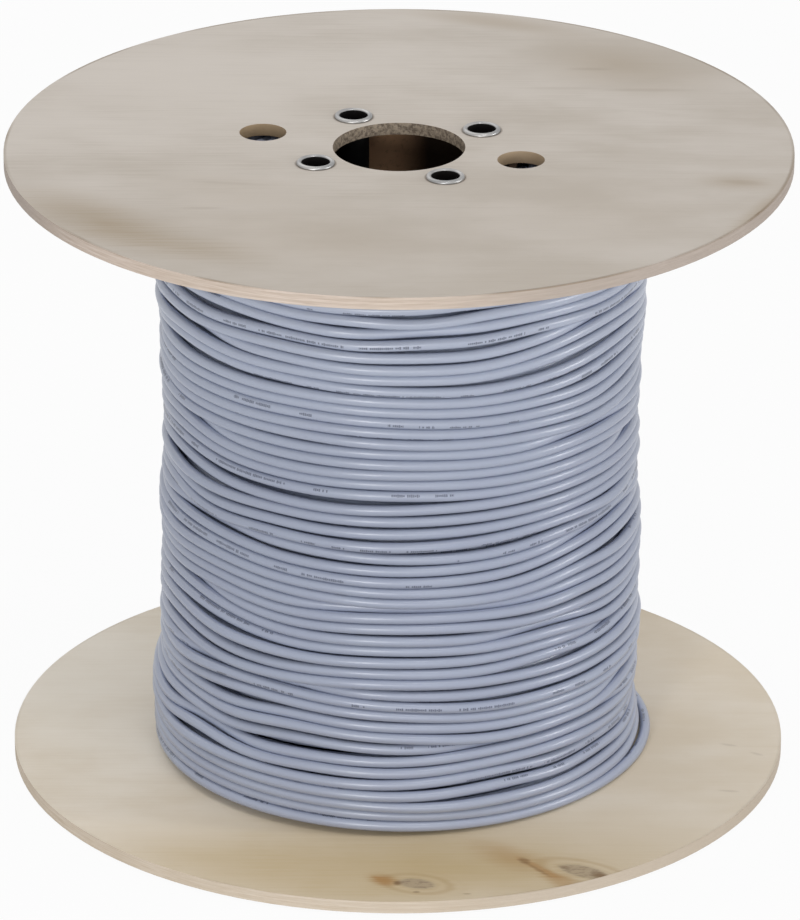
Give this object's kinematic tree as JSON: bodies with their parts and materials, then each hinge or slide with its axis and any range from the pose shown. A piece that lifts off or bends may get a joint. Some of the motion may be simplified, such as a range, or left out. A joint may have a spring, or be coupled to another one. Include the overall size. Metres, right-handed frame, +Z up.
{
  "type": "wooden cable drum",
  "caption": "Plywood cable drum standing on one flange, wound with grey cable on a paperboard barrel that hollow steel tie tubes clamp between the flanges.",
  "frame": {"origin": "on the floor, under the drum's axis", "axes": "+Z up along the drum's axis, +X to the right and +Y away as seen from the front"},
  "size_m": [0.4999, 0.5, 0.42],
  "materials": {
    "plywood": "bare sanded plywood, grey with handling",
    "paperboard": "raw brown paperboard",
    "cable_jacket": "smooth blue-grey PVC jacket",
    "zinc_steel": "zinc-plated steel"
  },
  "bodies": {
    "root": {"bottom_flange": "plywood", "top_flange": "plywood", "barrel": "paperboard", "cable_winding": "cable_jacket", "tie_tube_1": "zinc_steel", "tie_tube_2": "zinc_steel", "tie_tube_3": "zinc_steel", "tie_tube_4": "zinc_steel"}
  },
  "joints": []
}
